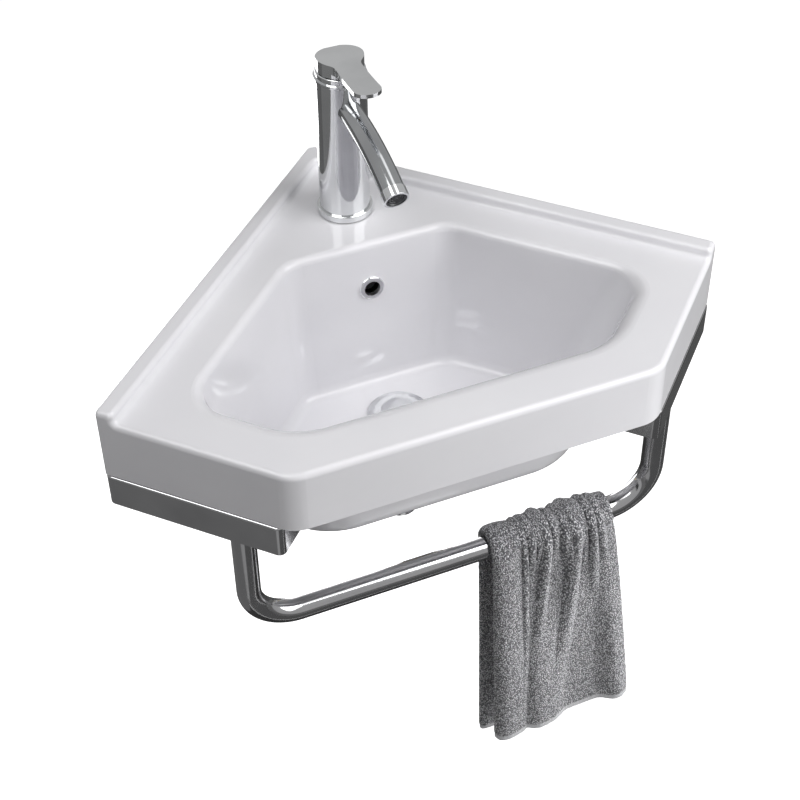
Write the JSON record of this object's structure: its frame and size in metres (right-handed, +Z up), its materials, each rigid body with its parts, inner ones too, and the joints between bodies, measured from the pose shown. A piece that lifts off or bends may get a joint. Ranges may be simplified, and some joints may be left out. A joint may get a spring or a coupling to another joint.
{
  "type": "corner washbasin",
  "caption": "Wall-hung ceramic corner washbasin on steel side brackets, with a single-lever tap, a pop-up waste, a towel rail below the front and a towel over it.",
  "frame": {"origin": "on the upright line where the two walls meet, level with the basin's deck", "axes": "+Z up, the front faces -Y, X across; the plane x = 0 halves the corner between the walls"},
  "size_m": [0.5406, 0.3823, 0.6441],
  "materials": {
    "glaze": "gloss glaze over white sanitary ceramic",
    "chrome": "bright plated",
    "polished_steel": "polished stainless",
    "plated_steel": "zinc plated",
    "brass": "machined",
    "rubber": "matt moulded",
    "pale_plastic": "moulded",
    "dark_plastic": "moulded",
    "terry": "cotton loop pile"
  },
  "bodies": {
    "basin_unit": {"basin": "glaze", "tap_body": "chrome", "tap_base_ring": "chrome", "spout": "chrome", "aerator_collar": "chrome", "overflow_ring": "chrome", "waste_body": "chrome", "waste_tail": "chrome", "trim_dome": "chrome", "left_bracket": "polished_steel", "right_bracket": "polished_steel", "towel_rail": "polished_steel", "rail_inserts": "plated_steel", "rail_washers": "plated_steel", "rail_bolts": "plated_steel", "tap_stud": "plated_steel", "tap_nut": "plated_steel", "horseshoe_plate": "plated_steel", "waste_nut": "brass", "cartridge_nut": "brass", "waste_top_seal": "rubber", "waste_lower_seal": "rubber", "tap_base_seal": "rubber", "horseshoe_seal": "rubber", "left_pad": "rubber", "right_pad": "rubber", "cartridge": "pale_plastic", "click_cartridge": "pale_plastic", "aerator_insert": "dark_plastic"},
    "lever_turn": {"cartridge_rotor": "pale_plastic", "lever_pin": "plated_steel"},
    "lever": {"lever_spindle": "brass", "lever_handle": "chrome", "grub_screw": "plated_steel"},
    "plug": {"plug_cap": "chrome", "plug_seal": "rubber", "plug_stem": "brass"},
    "towel": {"towel": "terry"}
  },
  "joints": [
    {"name": "lever_turn", "type": "hinge", "parent": "basin_unit", "child": "lever_turn", "pos_m": [0, -0.09249, 0.133], "axis": [0, 0, 1], "range_deg": [-48, 48]},
    {"name": "lever_lift", "type": "hinge", "parent": "lever_turn", "child": "lever", "pos_m": [0, -0.09249, 0.142], "axis": [-1, 0, 0], "range_deg": [0, 22]},
    {"name": "plug_lift", "type": "slide", "parent": "basin_unit", "child": "plug", "axis": [0, 0, 1], "range_m": [0, 0.008]},
    {"name": "towel_slide", "type": "slide", "parent": "basin_unit", "child": "towel", "axis": [1, 0, 0], "range_m": [-0.168, 0]}
  ]
}
